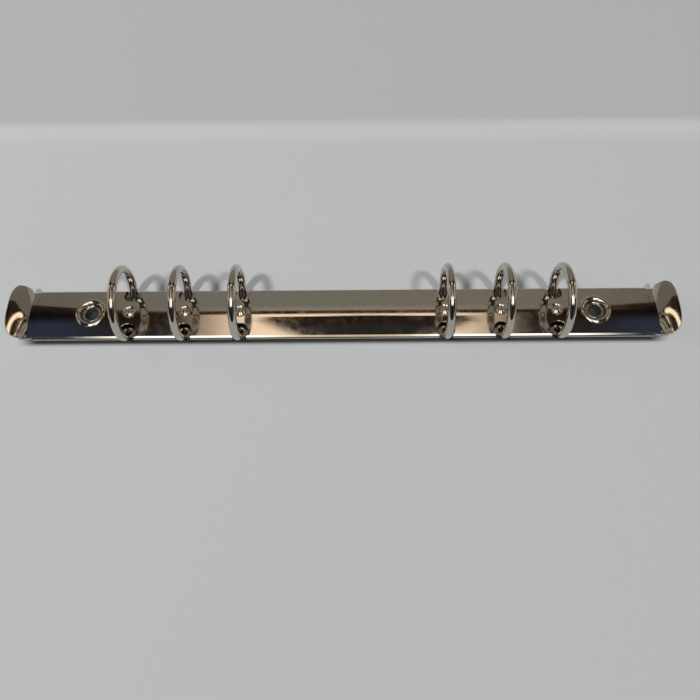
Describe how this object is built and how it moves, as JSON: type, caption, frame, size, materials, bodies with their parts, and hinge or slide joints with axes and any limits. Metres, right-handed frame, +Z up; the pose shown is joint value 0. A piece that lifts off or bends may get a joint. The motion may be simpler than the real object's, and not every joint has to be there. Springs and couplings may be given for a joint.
{
  "type": "ring binder mechanism",
  "caption": "Ring binder mechanism with an arched cover plate, snap-open wire rings, end levers and mounting eyelets.",
  "frame": {"origin": "centre of the footprint on the board that the mechanism is fixed to", "axes": "+X along the mechanism, +Z up through the tops of the rings, -Y towards the front rail"},
  "size_m": [0.225, 0.0252, 0.0226],
  "materials": {
    "plate_nickel": "bright nickel plate on rolled spring steel, mirror gloss with faint forming waviness",
    "ring_nickel": "bright nickel plate on drawn steel wire, mirror gloss",
    "lever_nickel": "bright nickel plate on stamped steel, mirror gloss",
    "eyelet_nickel": "nickel-plated rolled tube, slightly softer gloss",
    "rail_steel": "nickel-plated strip with rolling grain, satin"
  },
  "bodies": {
    "housing": {"cover_plate": "plate_nickel", "left_eyelet": "eyelet_nickel", "right_eyelet": "eyelet_nickel"},
    "front_jaw": {"front_rail": "rail_steel", "front_ring_half_1": "ring_nickel", "front_ring_half_2": "ring_nickel", "front_ring_half_3": "ring_nickel", "front_ring_half_4": "ring_nickel", "front_ring_half_5": "ring_nickel", "front_ring_half_6": "ring_nickel"},
    "rear_jaw": {"rear_rail": "rail_steel", "rear_ring_half_1": "ring_nickel", "rear_ring_half_2": "ring_nickel", "rear_ring_half_3": "ring_nickel", "rear_ring_half_4": "ring_nickel", "rear_ring_half_5": "ring_nickel", "rear_ring_half_6": "ring_nickel"},
    "left_lever": {"left_lever": "lever_nickel"},
    "right_lever": {"right_lever": "lever_nickel"}
  },
  "joints": [
    {"name": "front_rail_hinge", "type": "hinge", "parent": "housing", "child": "front_jaw", "pos_m": [0, -0.00805, 0.00145], "axis": [1, 0, 0], "range_deg": [0, 11]},
    {"name": "rear_rail_hinge", "type": "hinge", "parent": "housing", "child": "rear_jaw", "pos_m": [0, 0.00805, 0.00145], "axis": [-1, 0, 0], "range_deg": [0, 11]},
    {"name": "left_lever_hinge", "type": "hinge", "parent": "housing", "child": "left_lever", "pos_m": [-0.1046, 0, 0.00145], "axis": [0, -1, 0], "range_deg": [0, 15.4]},
    {"name": "right_lever_hinge", "type": "hinge", "parent": "housing", "child": "right_lever", "pos_m": [0.1046, 0, 0.00145], "axis": [0, 1, 0], "range_deg": [0, 15.4]}
  ],
  "couplings": [
    {"joint": "rear_rail_hinge", "follows": "front_rail_hinge", "ratio": 1},
    {"joint": "left_lever_hinge", "follows": "front_rail_hinge", "ratio": 1.4},
    {"joint": "right_lever_hinge", "follows": "front_rail_hinge", "ratio": 1.4}
  ]
}
